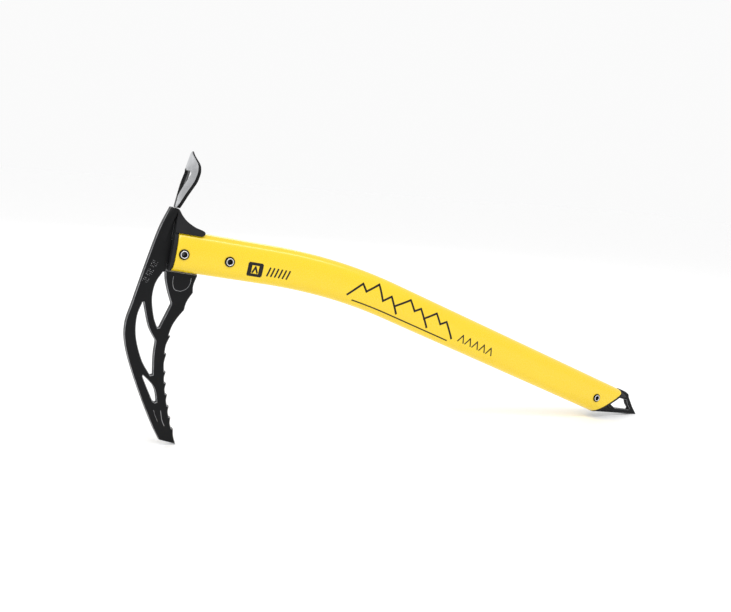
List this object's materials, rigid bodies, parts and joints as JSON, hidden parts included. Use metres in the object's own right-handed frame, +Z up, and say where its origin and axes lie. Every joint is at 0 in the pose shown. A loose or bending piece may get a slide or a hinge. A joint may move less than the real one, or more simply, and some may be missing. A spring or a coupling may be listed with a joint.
{
  "type": "ice axe",
  "caption": "Short mountaineering ice axe with a bent tube shaft, a pierced and toothed steel pick, a spade-shaped adze and a pierced steel spike.",
  "frame": {"origin": "centre of the bounding box's bottom, on the ground that the pick tip and the spike tip rest on", "axes": "+X from the head towards the spike, +Y across the head plate's thickness, +Z up with the adze on top"},
  "size_m": [0.4946, 0.029, 0.2164],
  "materials": {
    "black_steel": "satin black coating on hot-forged steel",
    "ground_steel": "ground and polished steel face with black rim",
    "black_plastic": "fine-grained moulded nylon",
    "grey_plastic": "plain moulded packing",
    "yellow_paint": "glossy yellow lacquer on aluminium tube",
    "rivet_steel": "bright rolled tubular rivet"
  },
  "bodies": {
    "root": {"head_plate": "black_steel", "palm_rest": "black_steel", "adze": "ground_steel", "thumb_rest": "black_plastic", "tang_spacer_left": "grey_plastic", "tang_spacer_right": "grey_plastic", "shaft": "yellow_paint", "spike": "black_steel", "spike_plug": "black_plastic", "head_front_rivet": "rivet_steel", "head_rear_rivet": "rivet_steel", "spike_rivet": "rivet_steel", "head_front_washer_near": "black_steel", "head_front_washer_far": "black_steel", "head_rear_washer_near": "black_steel", "head_rear_washer_far": "black_steel", "spike_washer_near": "black_steel", "spike_washer_far": "black_steel"}
  },
  "joints": []
}
